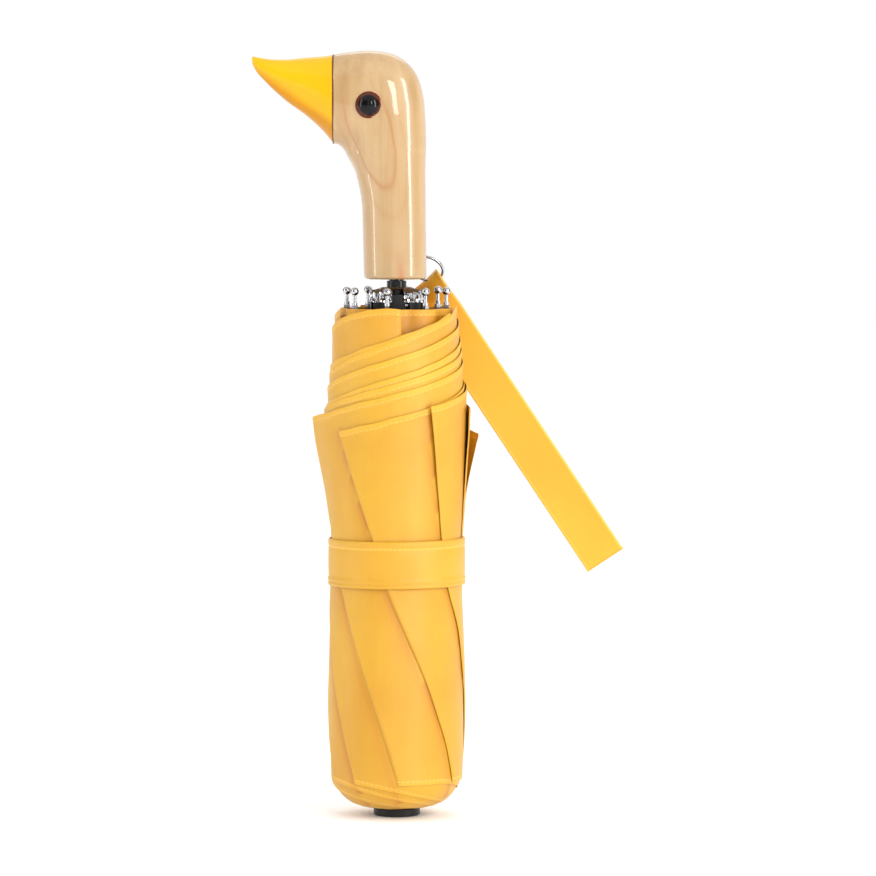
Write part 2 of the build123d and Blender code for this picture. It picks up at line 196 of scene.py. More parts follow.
# ---- materials ---------------------------------------------------------------------------------
class Surface:
    """A Principled material that is built node by node."""

    def __init__(self, name, **settings):
        self.material = bpy.data.materials.new(name)
        self.material.use_nodes = True
        self.nodes = self.material.node_tree.nodes
        self.links = self.material.node_tree.links
        self.shader = self.nodes["Principled BSDF"]
        for key, value in settings.items():
            self.shader.inputs[key.replace("_", " ")].default_value = value

    def node(self, kind, **settings):
        made = self.nodes.new(kind)
        for key, value in settings.items():
            setattr(made, key, value)
        return made

    def put(self, socket, value):
        if isinstance(value, bpy.types.NodeSocket):
            self.links.new(value, socket)
        else:
            socket.default_value = value

    def math(self, operation, a, b=0.0, c=0.0):
        made = self.node("ShaderNodeMath", operation=operation)
        for socket, value in zip(made.inputs, (a, b, c)):
            self.put(socket, value)
        return made.outputs[0]

    def noise(self, vector, scale, detail=3.0, roughness=0.5):
        made = self.node("ShaderNodeTexNoise")
        self.put(made.inputs["Vector"], vector)
        made.inputs["Scale"].default_value = scale
        made.inputs["Detail"].default_value = detail
        made.inputs["Roughness"].default_value = roughness
        return made.outputs["Fac"]

    def place(self, stretch=(1, 1, 1), turn=(0, 0, 0), source="Object"):
        coordinates = self.node("ShaderNodeTexCoord").outputs[source]
        mapping = self.node("ShaderNodeMapping")
        self.links.new(coordinates, mapping.inputs["Vector"])
        mapping.inputs["Scale"].default_value = stretch
        mapping.inputs["Rotation"].default_value = turn
        return mapping.outputs[0]

    def uv(self):
        """The two weave coordinates, in millimetres."""
        split = self.node("ShaderNodeSeparateXYZ")
        self.links.new(self.node("ShaderNodeUVMap", uv_map="weave").outputs[0], split.inputs[0])
        return split.outputs[0], split.outputs[1]

    def attribute(self, name):
        return self.node("ShaderNodeAttribute", attribute_name=name).outputs["Fac"]

    def ramp(self, value, *stops):
        made = self.node("ShaderNodeValToRGB")
        self.put(made.inputs[0], value)
        elements = made.color_ramp.elements
        while len(elements) < len(stops):
            elements.new(0.5)
        for element, (position, color) in zip(elements, stops):
            element.position = position
            element.color = (*color, 1.0) if len(color) == 3 else color
        return made.outputs[0]

    def mix(self, factor, a, b, blend="MIX"):
        made = self.node("ShaderNodeMix", data_type="RGBA", blend_type=blend)
        for socket, value in zip((made.inputs[0], made.inputs[6], made.inputs[7]), (factor, a, b)):
            if isinstance(value, tuple) and len(value) == 3:
                value = (*value, 1.0)
            self.put(socket, value)
        return made.outputs[2]

    def color(self, value):
        self.put(self.shader.inputs["Base Color"], value)

    def rough(self, value):
        self.put(self.shader.inputs["Roughness"], value)

    def bump(self, height, depth, strength=1.0):
        made = self.node("ShaderNodeBump")
        made.inputs["Distance"].default_value = depth * MM
        made.inputs["Strength"].default_value = strength
        self.put(made.inputs["Height"], height)
        if self.shader.inputs["Normal"].is_linked:
            self.links.new(self.shader.inputs["Normal"].links[0].from_socket, made.inputs["Normal"])
        self.links.new(made.outputs[0], self.shader.inputs["Normal"])

    def wave(self, value, period):
        """0 to 1 and back over one period of a coordinate."""
        return self.math(
            "MULTIPLY_ADD", self.math("SINE", self.math("MULTIPLY", value, 2 * math.pi / period)), 0.5, 0.5
        )


def cloth_surface(name, bright, deep, period=0.62, seams=True):
    """Fine twill cloth, deeper in colour where the layer above shades it, with sewn hems."""
    s = Surface(name, Sheen_Weight=0.1, Sheen_Roughness=0.4, Specular_IOR_Level=0.6)
    s.shader.inputs["Sheen Tint"].default_value = (1.0, 0.8, 0.45, 1.0)
    across, along = s.uv()
    diagonal = s.wave(s.math("ADD", across, s.math("MULTIPLY", along, 0.7)), period)
    cross = s.wave(s.math("SUBTRACT", across, s.math("MULTIPLY", along, 1.3)), period * 1.7)
    weave = s.math("MULTIPLY_ADD", cross, 0.35, diagonal)
    where = s.place()
    patches = s.noise(where, 26.0, 3.0)
    slubs = s.noise(s.place(stretch=(1, 1, 0.12)), 420.0, 2.0)
    color = s.mix(s.ramp(patches, (0.3, (0, 0, 0)), (0.7, (1, 1, 1))), deep, bright)
    color = s.mix(s.math("MULTIPLY", diagonal, 0.2), color, tuple(c * 1.22 for c in bright))
    color = s.mix(s.math("MULTIPLY", slubs, 0.22), color, tuple(c * 0.8 for c in deep))
    shade = s.attribute("shade")
    color = s.mix(shade, color, tuple(c * k for c, k in zip(deep, (0.86, 0.6, 0.35))))
    if seams:
        hem, run = s.attribute("hem"), s.attribute("run")
        on_line = s.math("COMPARE", hem, 2.35, 0.24)
        on_stitch = s.math("GREATER_THAN", s.wave(run, 2.1), 0.3)
        thread = s.math("MULTIPLY", on_line, on_stitch)
        folded = s.math("LESS_THAN", hem, 2.9)
        color = s.mix(s.math("MULTIPLY", folded, 0.25), color, tuple(min(1, c * 1.35) for c in bright))
        color = s.mix(s.math("MULTIPLY", thread, 0.35), color, (1.0, 0.72, 0.25))
        s.bump(thread, 0.16)
    s.color(color)
    s.rough(s.ramp(weave, (0.0, (0.52,) * 3), (1.0, (0.36,) * 3)))
    s.bump(weave, 0.05, 0.8)
    s.bump(patches, 0.5, 0.5)
    return s.material


def maple_surface():
    """Clear-lacquered maple: a cathedral of growth lines round the eye, fine pores, even gloss."""
    s = Surface("lacquered_maple", Coat_Weight=0.9, Coat_Roughness=0.06, Roughness=0.38)
    split = s.node("ShaderNodeSeparateXYZ")
    s.links.new(s.place(stretch=(1000, 1000, 1000)), split.inputs[0])
    x, y, z = split.outputs
    drift = s.noise(s.place(stretch=(1, 1, 0.35)), 55.0, 2.0)
    x = s.math("MULTIPLY_ADD", drift, 9.0, s.math("ADD", x, 6.2))
    height = s.math("SUBTRACT", z, 294.7)
    down = s.math("SUBTRACT", s.math("MULTIPLY", x, 0.29), s.math("MULTIPLY", height, 0.957))
    side = s.math("ADD", s.math("MULTIPLY", x, 0.957), s.math("MULTIPLY", height, 0.29))
    long_part = s.math("POWER", s.math("DIVIDE", down, 18.5), 2.0)
    wide_part = s.math("POWER", s.math("DIVIDE", side, 5.9), 2.0)
    ring = s.math("SQRT", s.math("ADD", long_part, wide_part))
    ring = s.math("MULTIPLY_ADD", y, 0.035, ring)
    line = 0.0
    for middle, width, weight in ((1.0, 0.075, 1.0), (0.62, 0.1, 0.16), (1.72, 0.12, 0.34), (2.7, 0.16, 0.2)):
        off = s.math("DIVIDE", s.math("SUBTRACT", ring, middle), width)
        peak = s.math("DIVIDE", weight, s.math("MULTIPLY_ADD", off, off, 1.0))
        line = s.math("ADD", peak, line)
    open_top = s.node("ShaderNodeMapRange")
    s.put(open_top.inputs["Value"], z)
    for key, value in (("From Min", 312.0), ("From Max", 301.0), ("To Min", 0.15), ("To Max", 1.0)):
        open_top.inputs[key].default_value = value
    line = s.math("MULTIPLY", line, open_top.outputs[0])
    fibre = s.noise(s.place(stretch=(1, 1, 0.05)), 700.0, 4.0, 0.6)
    streak = s.noise(s.place(stretch=(1, 1, 0.03)), 170.0, 3.0, 0.6)
    pore = s.noise(s.place(stretch=(1, 1, 0.3)), 1900.0, 2.0, 0.6)
    color = s.ramp(
        streak, (0.3, (0.40, 0.24, 0.095)), (0.52, (0.47, 0.305, 0.135)), (0.75, (0.52, 0.35, 0.17))
    )
    color = s.mix(s.math("MULTIPLY", fibre, 0.3), color, (0.43, 0.25, 0.115))
    color = s.mix(s.math("MULTIPLY", line, 0.62), color, (0.40, 0.16, 0.045))
    color = s.mix(s.ramp(pore, (0.6, (0, 0, 0)), (0.78, (0.45,) * 3)), color, (0.37, 0.21, 0.09))
    flare_height = s.math("SUBTRACT", 1.0, s.math("MULTIPLY", s.math("SUBTRACT", z, 230.0), 0.085))
    from_middle = s.math("ABSOLUTE", s.math("SUBTRACT", x, 13.0))
    flare_width = s.math("SUBTRACT", 1.0, s.math("MULTIPLY", from_middle, 0.4))
    flare = s.math("MULTIPLY", s.math("MAXIMUM", flare_height, 0.0), s.math("MAXIMUM", flare_width, 0.0))
    color = s.mix(s.math("MINIMUM", flare, 0.75), color, (0.46, 0.17, 0.05))
    s.color(color)
    s.bump(fibre, 0.05, 0.35)
    return s.material


def lacquer_surface():
    """Thick yellow gloss lacquer on the beak, a little uneven as it is brushed, with painted shade below the
    line of its side ridge.
    """
    s = Surface("beak_lacquer", Coat_Weight=0.8, Coat_Roughness=0.05, Coat_IOR=1.3, Specular_IOR_Level=0.15)
    broad = s.noise(s.place(), 45.0, 2.0)
    split = s.node("ShaderNodeSeparateXYZ")
    s.links.new(s.place(stretch=(1000, 1000, 1000)), split.inputs[0])
    # Painted shade: below a line along the side ridge the lacquer is coloured a deeper yellow, where the
    # hollow under the ridge turns from the light.
    ridge = s.math("MULTIPLY_ADD", split.outputs[0], -0.69, 278.2)
    painted_shade_below = s.node("ShaderNodeMapRange")
    s.put(painted_shade_below.inputs["Value"], s.math("SUBTRACT", ridge, split.outputs[2]))
    painted_shade_below.inputs["From Min"].default_value = -1.6
    painted_shade_below.inputs["From Max"].default_value = 1.8
    color = s.ramp(broad, (0.3, (0.76, 0.37, 0.0)), (0.7, (0.82, 0.42, 0.001)))
    s.color(s.mix(painted_shade_below.outputs[0], color, (0.56, 0.23, 0.0)))
    s.bump(s.noise(s.place(), 160.0, 2.0), 0.08, 0.5)
    return s.material


def metal_surface(name, color, roughness, scratches=0.12, lacquered=False):
    """Plated or painted steel with faint scratches along the part and a trace of grime."""
    s = Surface(name, Metallic=0.0 if lacquered else 1.0)
    if lacquered:
        s.shader.inputs["Coat Weight"].default_value = 0.8
        s.shader.inputs["Coat IOR"].default_value = 1.3
        s.shader.inputs["Specular IOR Level"].default_value = 0.15
        s.shader.inputs["Coat Roughness"].default_value = 0.08
    lines = s.noise(s.place(stretch=(1, 1, 0.04)), 1500.0, 3.0, 0.7)
    grime = s.noise(s.place(), 210.0, 4.0)
    dark = tuple(c * 0.72 for c in color)
    s.color(s.mix(s.ramp(grime, (0.35, (0, 0, 0)), (0.7, (1, 1, 1))), dark, color))
    s.rough(s.ramp(lines, (0.3, (roughness,) * 3), (0.8, (roughness + scratches,) * 3)))
    s.bump(lines, 0.02, 0.4)
    return s.material


def plastic_surface(name, color, roughness):
    """Moulded plastic: a fine even skin with slight flow marks."""
    s = Surface(name, Specular_IOR_Level=0.25)
    skin = s.noise(s.place(), 1800.0, 2.0)
    flow = s.noise(s.place(stretch=(1, 1, 0.3)), 120.0, 2.0)
    s.color(s.mix(flow, color, tuple(c * 1.5 + 0.004 for c in color)))
    s.rough(s.ramp(flow, (0.3, (roughness,) * 3), (0.7, (roughness + 0.1,) * 3)))
    s.bump(skin, 0.02, 0.5)
    return s.material


def eye_surface():
    """Dark glass: black in the middle, warm brown towards the seat."""
    s = Surface("eye_glass", Coat_Weight=1.0, Coat_Roughness=0.02, Coat_IOR=1.3, Specular_IOR_Level=0.05)
    edge = s.attribute("rim")
    cloud = s.noise(s.place(), 500.0, 2.0)
    brown = s.mix(cloud, (0.09, 0.012, 0.006), (0.17, 0.035, 0.015))
    s.color(s.mix(s.ramp(edge, (0.62, (0, 0, 0)), (0.95, (1, 1, 1))), (0.003, 0.002, 0.002), brown))
    return s.material


def ribbon_surface():
    """Satin ribbon: fine ribs across it, firm woven edges."""
    s = Surface("ribbon", Sheen_Weight=0.3, Sheen_Roughness=0.35, Roughness=0.5)
    along, across = s.uv()
    ribs = s.wave(along, 0.55)
    threads = s.noise(s.place(stretch=(1, 1, 1)), 900.0, 2.0)
    edge = s.math("GREATER_THAN", s.math("ABSOLUTE", across), 8.1)
    broad = s.noise(s.place(), 30.0, 2.0)
    color = s.ramp(broad, (0.3, (0.68, 0.335, 0.006)), (0.7, (0.72, 0.38, 0.012)))
    color = s.mix(s.math("MULTIPLY", ribs, 0.16), color, (1.0, 0.62, 0.1))
    color = s.mix(s.math("MULTIPLY", threads, 0.2), color, (0.82, 0.32, 0.01))
    color = s.mix(s.math("MULTIPLY", edge, 0.3), color, (1.0, 0.62, 0.12))
    color = s.mix(s.attribute("shade"), color, (0.62, 0.16, 0.002))
    s.color(color)
    s.bump(ribs, 0.05, 0.7)
    s.bump(edge, 0.12, 0.8)
    return s.material


def floor_surface():
    s = Surface("paper_floor", Roughness=0.85)
    grain = s.noise(s.place(), 400.0, 3.0)
    s.color(s.ramp(grain, (0.3, (0.975, 0.975, 0.975)), (0.7, (0.99, 0.99, 0.99))))
    s.shader.inputs["Emission Color"].default_value = (1, 1, 1, 1)
    s.shader.inputs["Emission Strength"].default_value = 0.07
    return s.material


# ---- handle ------------------------------------------------------------------------------------
THROAT = (-26.8, 283.0)
NECK = (  # height, front, back, half depth
    (230, -13.9, 12.8, 12.6), (237, -14.1, 12.75, 12.65), (245, -14.3, 12.7, 12.7),
    (254, -14.5, 12.6, 12.8), (262, -14.8, 12.5, 12.9), (269, -15.9, 12.45, 13.0), (275, -17.4, 12.4, 13.1),
)
HEAD = (  # turn about the throat point, near side, far side, half depth
    (0, 5.4, 39.3, 13.3), (11, 5.1, 40.2, 13.4), (22, 4.8, 42.2, 13.5), (34, 4.7, 46.0, 13.5),
    (45, 4.6, 49.4, 13.5), (57, 4.6, 50.0, 13.3), (68, 4.6, 47.6, 12.9), (79, 4.6, 44.6, 12.1),
    (90, 4.7, 42.4, 11.0),
)
BEAK = (  # distance out from the joint, lower edge, upper edge, half depth
    (0, 287.7, 325.4, 11.0), (5, 293.6, 324.7, 9.9), (10.7, 298.8, 324.3, 8.7), (21.4, 306.8, 323.4, 5.9),
    (29.2, 314.2, 323.8, 3.6), (33.6, 319.5, 324.6, 1.9), (35.3, 323.0, 325.0, 0.9),
)
SIDES = 72


def ring_points(centre, along, half, depth, square=2.0, across=(0, 1, 0)):
    """One oval section: along and across are its axes, square above 2 fills its corners out."""
    turns = np.linspace(0, 2 * math.pi, SIDES, endpoint=False)
    c, s = np.cos(turns), np.sin(turns)
    a = np.sign(c) * np.abs(c) ** (2 / square) * half
    b = np.sign(s) * np.abs(s) ** (2 / square) * depth
    return np.asarray(centre) + a[:, None] * np.asarray(along) + b[:, None] * np.asarray(across)


def capped(rings, steps, close_start=True, close_end=True):
    """Faces and points of a tube of rings, its ends closed by shrinking rings to a point."""
    points = [r for r in rings]
    for at_start in (True, False):
        if not (close_start if at_start else close_end):
            continue
        last = points[0] if at_start else points[-1]
        centre = last.mean(axis=0)
        for k in steps:
            ring = centre + (last - centre) * k
            points = [ring] + points if at_start else points + [ring]
    count = len(points)
    vertices = np.concatenate(points)
    faces = grid_faces(count, SIDES, closed=True)
    if close_start:
        faces.append(tuple(range(SIDES))[::-1])
    if close_end:
        faces.append(tuple((count - 1) * SIDES + j for j in range(SIDES)))
    return vertices, faces


def make_head(material):
    rings = []
    for z, inset in ((230.0, 1.3), (230.25, 0.55), (230.75, 0.15), (231.4, 0.0)):
        front, back, depth = spline(NECK, [z])[0]
        rings.append(
            ring_points(((front + back) / 2, 0, z), (1, 0, 0), (back - front) / 2 - inset, depth - inset, 2.15)
        )
    for z in np.linspace(234, 276, 22):
        front, back, depth = spline(NECK, [z])[0]
        rings.append(ring_points(((front + back) / 2, 0, z), (1, 0, 0), (back - front) / 2, depth, 2.15))
    for turn in np.linspace(0, 90, 46):
        near, far, depth = spline(HEAD, [turn])[0]
        c, s = math.cos(math.radians(turn)), math.sin(math.radians(turn))
        middle = (near + far) / 2
        centre = (THROAT[0] + middle * c, 0, THROAT[1] + middle * s)
        rings.append(ring_points(centre, (c, 0, s), (far - near) / 2, depth, 2.12))
    vertices, faces = capped(rings, (0.97, 0.9, 0.6, 0.3), close_end=True)
    head = new_mesh("handle_head_wood", vertices, faces, material)
    head.modifiers.new("soften", "SUBSURF").render_levels = 1
    head.modifiers["soften"].levels = 1
    return head


def make_beak(material):
    rings = []
    for out in np.concatenate([[0.12, 0.5], np.linspace(1.5, 34.6, 40)]):
        low, high, depth = spline(BEAK, [out])[0]
        turns = np.linspace(0, 2 * math.pi, SIDES, endpoint=False)
        up, side = np.cos(turns), np.sin(turns)
        # The lower half is hollowed a little along the side, which leaves a soft ridge above it.
        hollow = 1 - 0.24 * np.exp(-(((up + 0.5) / 0.3) ** 2)) * smoothstep(out, 0.5, 12)
        edge = 0.25 if out < 0.3 else 0.0
        z = (low + high) / 2 + up * ((high - low) / 2 - edge)
        y = side * np.abs(side) ** 0.05 * (depth - edge) * hollow
        x = np.full(SIDES, THROAT[0] - out)
        rings.append(np.stack([x, y, z], axis=1))
    vertices, faces = capped(rings[::-1], (0.6, 0.25))
    beak = new_mesh("beak_lacquered", vertices, faces, material)
    beak.modifiers.new("soften", "SUBSURF").render_levels = 1
    beak.modifiers["soften"].levels = 1
    return beak


def make_glue_line(material):
    """Dark bead of glue that shows round the beak's joint."""
    turns = np.linspace(0, 2 * math.pi, 120, endpoint=False)
    rings = []
    for k in np.linspace(0, 2 * math.pi, 8, endpoint=False):
        out, away = 0.32 * math.cos(k), 0.16 * math.sin(k)
        x = np.full(120, THROAT[0] - 0.02 + out)
        z = 306.55 + np.cos(turns) * (18.86 + away)
        y = np.sin(turns) * (11.0 + away)
        rings.append(np.stack([x, y, z], axis=1))
    vertices = np.concatenate(rings)
    faces = grid_faces(8, 120, closed=True) + [
        (7 * 120 + j, 7 * 120 + (j + 1) % 120, (j + 1) % 120, j) for j in range(120)
    ]
    return new_mesh("beak_glue_line", vertices, faces, material)


def make_eye(name, side, glass, rim):
    """Half ball of glass with a thin seat ring round it."""
    centre = np.array([-11.6, side * 10.3, 304.0])
    count, rows = 48, 16
    points, rims = [], []
    for i in range(rows):
        a = math.radians(3 + (63.1 - 3) * i / (rows - 1))
        for j in range(count):
            b = 2 * math.pi * j / count
            radius = 6.0 * math.sin(a)
            points.append(centre + [radius * math.cos(b), side * 6.0 * math.cos(a), radius * math.sin(b)])
            rims.append(i / (rows - 1))
    back = centre + [0, side * 1.2, 0]
    for j in range(count):
        b = 2 * math.pi * j / count
        points.append(back + [5.3 * math.cos(b), 0, 5.3 * math.sin(b)])
        rims.append(1.0)
    flip = side < 0
    faces = grid_faces(rows + 1, count, closed=True, flip=flip)
    front = tuple(range(count))
    last = tuple(rows * count + j for j in range(count))
    faces += [front if flip else front[::-1], last[::-1] if flip else last]
    ball = new_mesh(name, points, faces, glass)
    put_attribute(ball, "rim", rims)
    ring = []
    for i in range(10):
        k = 2 * math.pi * i / 10
        for j in range(count):
            b = 2 * math.pi * j / count
            radius = 5.42 + 0.32 * math.cos(k)
            ring.append(
                centre + [radius * math.cos(b), side * (2.75 + 0.3 * math.sin(k)), radius * math.sin(b)]
            )
    faces = grid_faces(10, count, closed=True, flip=flip)
    faces += [
        tuple((9 * count + j, 9 * count + (j + 1) % count, (j + 1) % count, j)[:: -1 if flip else 1])
        for j in range(count)
    ]
    seat = new_mesh(f"{name}_seat", ring, faces, rim)
    return ball, seat


# ---- furled canopy -----------------------------------------------------------------------------
# Outer radius of the packet at each height, where the outermost layer lies.
ENVELOPE = (
    (10, 28.4), (18, 28.7), (40, 29.3), (60, 29.4), (80, 29.0), (98, 28.35), (110, 28.1), (120, 28.35),
    (133, 29.3), (150, 30.0), (166, 30.7), (180, 30.9), (200, 30.9), (220, 30.6),
)
# The eight leaves: height of the outer corner, its lift off the packet, and the turn at which its
# folded edge lies at each height from the corner down.
LEAVES = (
    (
        171.0, 5.2,
        (
            (171, -94), (154, -92), (133, -88), (120, -77), (98, -56), (70, -33.5), (50, -19.5), (35, -9.6),
            (12, 4),
        ),
    ),
    (
        166.2, 1.4,
        ((166, -50), (143, -36), (120, -21), (98, -7), (78, 10), (60, 25.6), (45, 37), (33, 46.8), (12, 60)),
    ),
    (
        177.0, 0.9,
        (
            (177, 27.6), (160, 31.7), (142, 36.4), (120, 43.3), (100, 51.2), (80, 67.5), (66, 74), (40, 90),
            (12, 106),
        ),
    ),
    (175.0, 1.6, ((175, 75), (150, 77), (126, 80), (100, 96), (60, 122), (12, 152))),
    (163.5, 5.6, ((164, 96), (145, 98), (127, 100), (100, 116), (60, 146), (12, 178))),
    (168.0, 2.5, ((168, 150), (130, 165), (100, 186), (60, 214), (12, 246))),
    (166.0, 2.0, ((166, 195), (130, 212), (100, 233), (60, 261), (12, 292))),
    (170.0, 3.0, ((170, 230), (130, 246), (100, 266), (60, 294), (12, 324))),
)
LAYERS_DEEP = 5.0  # how far inwards a leaf has wound after one whole turn
TURN_LENGTH = 184.0
RIB_TURNS = [80 + 45 * k for k in range(8)]  # turns of the ribs from the front


def fold_turn(edge, z):
    """Turn of a leaf's folded edge at height z, smooth through its (height, turn) rows."""
    return spline(sorted(edge), z)[..., 0]


def leaf_grid(index, corner, lift, edge):
    """Points, weave coordinates and marks of one leaf as it is wound round the shaft."""
    near_edge = [0, 0.12, 0.3, 0.55, 0.9, 1.4, 2.1, 3.0, 4.2, 5.8, 7.8, 10.2]
    arcs = np.concatenate([near_edge, np.linspace(13, 178, 62)])
    end = {2: 0.937, 1: 0.955, 0: 0.93}.get(index, 0.965)
    arcs = arcs[arcs <= end * TURN_LENGTH]
    arcs = np.append(arcs, end * TURN_LENGTH)
    u = arcs / TURN_LENGTH
    steep, power = {2: (1.2, 1.1), 3: (1.0, 1.45)}.get(index, (1.06, 1.1))
    rise = np.minimum(1.0, steep * u**power)
    top = corner + (218.4 - corner) * rise
    first_turn = fold_turn(edge, top)
    between_tips = 0.5 - 0.5 * np.cos(np.radians((first_turn + u * 360 - RIB_TURNS[0]) * 8))
    top -= 1.0 * between_tips * smoothstep(rise, 0.9, 1.0)
    top += 0.5 * wobble(arcs, arcs * 0, 9.0, index) * smoothstep(arcs, 0, 8)
    hem_rows = np.array([0, 0.18, 0.5, 1.0, 1.6, 2.1, 2.35, 2.6, 3.0, 3.3, 4.0])
    body_rows = np.linspace(0, 1, 54)[1:]
    rows_z = [top - h for h in hem_rows]
    rows_z += [(top - 4.0) * (1 - t) + 18.0 * t for t in body_rows]
    z = np.array(rows_z)
    arc = np.broadcast_to(arcs, z.shape)
    uu = np.broadcast_to(u, z.shape)
    turn = fold_turn(edge, z) + arc / TURN_LENGTH * 360
    radius = spline(ENVELOPE, z)[..., 0] - LAYERS_DEEP * uu
    down = np.array([*hem_rows, *[4.0 + (corner - 22.0) * t for t in body_rows]])[:, None]
    flare = lift * smoothstep(z, 122, 172) ** 1.3 * np.exp(-arc / 9.0)
    rolled = -0.34 * np.exp(-((arc / 0.45) ** 2))
    bead = 0.22 * np.exp(-(((arc - 1.4) / 1.3) ** 2))
    hem_step = 0.2 * smoothstep(down, 3.3, 2.7) - 0.16 * np.exp(-(((down - 2.35) / 0.25) ** 2))
    hem_step = hem_step - 0.22 * np.exp(-((down / 0.25) ** 2))
    soft = 0.22 * wobble(turn, z, 34.0, 3) + 0.07 * wobble(turn, z, 9.0, 20 + index)
    pull = 0.35 * np.sin(np.radians(turn * 3.0 + z * 2.2)) * smoothstep(z, 124, 150) * smoothstep(z, 218, 196)
    radius = radius + flare + rolled + bead + hem_step + soft + pull * 0.5
    # Below 18 mm the cloth turns in under the crown; inner layers reach further under.
    delay = {0: 0.11, 1: 0.06}.get(index, 0.0)
    reach = np.radians(8 + 79 * (1 - np.exp(-((np.maximum(u - delay, 0) / 0.3) ** 1.6))))
    reach = reach * (1 + 0.02 * wobble(arcs, arcs * 0, 14.0, 60 + index))
    base_r, base_turn = radius[-1], turn[-1]
    bowl_r, bowl_z, bowl_turn = [], [], []
    outer = spline(ENVELOPE, np.array([18.0]))[0, 0]
    bowl_rows = np.linspace(0, 1, 15)[1:]
    for t in bowl_rows:
        a = reach * t
        bowl_r.append(10.2 + (base_r - 10.2) * np.cos(a))
        bowl_z.append(18.0 - (15.1 - 0.35 * (outer - base_r)) * np.sin(a))
        bowl_turn.append(base_turn + 8.0 * t * reach)
    radius = np.vstack([radius, bowl_r])
    z = np.vstack([z, bowl_z])
    turn = np.vstack([turn, bowl_turn])
    rows, columns = z.shape
    theta = np.radians(turn)
    points = np.stack([radius * np.sin(theta), -radius * np.cos(theta), z], axis=-1).reshape(-1, 3)
    bottom = np.cumsum(np.linalg.norm(np.diff(points.reshape(rows, columns, 3), axis=0), axis=2), axis=0)
    bottom = np.vstack([np.zeros(columns), bottom])
    hem = np.minimum(bottom, (bottom[-1] - bottom) + 0.6)
    arc = np.broadcast_to(arcs, z.shape)
    weave = np.stack([arc, z], axis=-1).reshape(-1, 2)
    # The next leaf's edge shades this one where it lies on it.
    nearest = np.full(z.shape, 999.0)
    for other, (other_corner, _, rows_other) in enumerate(LEAVES):
        if other != index:
            gap = (fold_turn(rows_other, np.clip(z, 12, None)) - turn) % 360
            gap = np.where(z < other_corner + 1.0, gap, 999.0)
            nearest = np.minimum(nearest, gap * 0.51)
    shade = 0.75 * np.exp(-nearest / 1.5) + 0.35 * np.exp(-nearest / 5.0)
    shade = np.clip(shade + 0.3 * smoothstep(np.broadcast_to(u, z.shape), 0.55, 0.95), 0, 0.9)
    return points, weave, hem.ravel(), arc.ravel(), shade.ravel(), rows, columns


def inner_folds(centre, layers=42):
    """Cloth of one gore folded back and forth between two ribs, inside the packet."""
    heights = np.array([30.0, 70.0, 108.0, 124.0, 160.0, 200.0])
    outer = np.array([21.5, 22.0, 22.0, 17.8, 17.8, 17.8])
    rows = []
    for z, limit in zip(heights, outer):
        radius = np.linspace(10.7, limit, layers)
        # The middle rib and the rivets stand off to one side of each rib's plane.
        past_ribs = np.where(radius < 14.0, 3.7, np.where(radius < 18.4, 3.1, 1.2))
        low = np.arcsin(past_ribs / radius) - math.radians(22.5)
        high = math.radians(22.5) - np.arcsin(1.75 / radius)
        back = np.arange(layers) % 2 == 1
        turn = np.stack([np.where(back, high, low), (low + high) / 2, np.where(back, low, high)], axis=1)
        turn = turn + math.radians(centre)
        r = np.repeat(radius, 3)
        across, deep = r * np.sin(turn.ravel()), -r * np.cos(turn.ravel())
        rows.append(np.stack([across, deep, np.full(3 * layers, z)], axis=1))
    return np.concatenate(rows), len(heights), 3 * layers


def make_furled():
    """All the cloth layers of the closed umbrella, as plain lists for one mesh."""
    points, weave, hem, run, shade, faces = [], [], [], [], [], []
    start = 0
    for index, (corner, lift, edge) in enumerate(LEAVES):
        p, w, h, r, s, rows, columns = leaf_grid(index, corner, lift, edge)
        faces += grid_faces(rows, columns, start=start, flip=True)
        for store, value in zip((points, weave, hem, run, shade), (p, w, h, r, s)):
            store.append(value)
        start += len(p)
    # Gathered cloth between the rib tips, seen where the wound leaves end.
    turns = np.linspace(0, 360, 180, endpoint=False)
    heights = np.concatenate([[217.6, 217.2, 216.4], np.linspace(214.5, 120, 24)])
    grid_z, grid_turn = np.meshgrid(heights, turns, indexing="ij")
    to_tip = (grid_turn - RIB_TURNS[0]) * 8
    radius = 24.3 - 2.6 * (0.5 - 0.5 * np.cos(np.radians(to_tip))) ** 1.4
    radius += 0.3 * wobble(grid_turn, grid_z, 6.0, 91) - 3.0 * smoothstep(grid_z, 190, 120)
    radius = np.maximum(radius, 16.5 + 0.033 * (grid_z - 60))
    theta = np.radians(grid_turn)
    liner = np.stack([radius * np.sin(theta), -radius * np.cos(theta), grid_z], axis=-1).reshape(-1, 3)
    faces += grid_faces(len(heights), len(turns), closed=True, start=start, flip=True)
    points.append(liner)
    weave.append(np.stack([grid_turn * 0.42, grid_z], axis=-1).reshape(-1, 2))
    hem.append((217.6 - grid_z).ravel() + 0.1)
    run.append((grid_turn * 0.42).ravel())
    shade.append(np.full(grid_z.size, 0.62))
    start += len(liner)
    for rib_turn in RIB_TURNS:
        folds, rows, columns = inner_folds(rib_turn + 22.5)
        faces += grid_faces(rows, columns, start=start)
        start += len(folds)
        points.append(folds)
        weave.append(np.stack([np.tile(np.arange(columns) * 4.0, rows), folds[:, 2]], axis=1))
        hem.append(np.full(len(folds), 50.0))
        run.append(np.zeros(len(folds)))
        shade.append(np.ones(len(folds)))
    return [np.concatenate(x) for x in (points, weave, hem, run, shade)] + [faces]


# ---- cloth of the open umbrella ------------------------------------------------------------------
# The open cloth lies on the three sections of the ribs. Each of its points keeps how far along and
# how far outside each section it lies, and the node group below lays it out for any opening.
INNER, MIDDLE, OUTER = 172.0, 165.0, 198.1
STEP = 3.8  # sideways step of the pivots at the knee and at the elbow
PIVOT = (8.4, 14.0)
RUNNER_TRAVEL = 162.378
OPEN_ANGLES = ((0.0, 78.0), (180.0, 66.0), (1.6, 52.0))  # each section closed and open, from +Z
SECTIONS = ("inner_along", "inner_out", "middle_along", "middle_out", "outer_along", "outer_out")


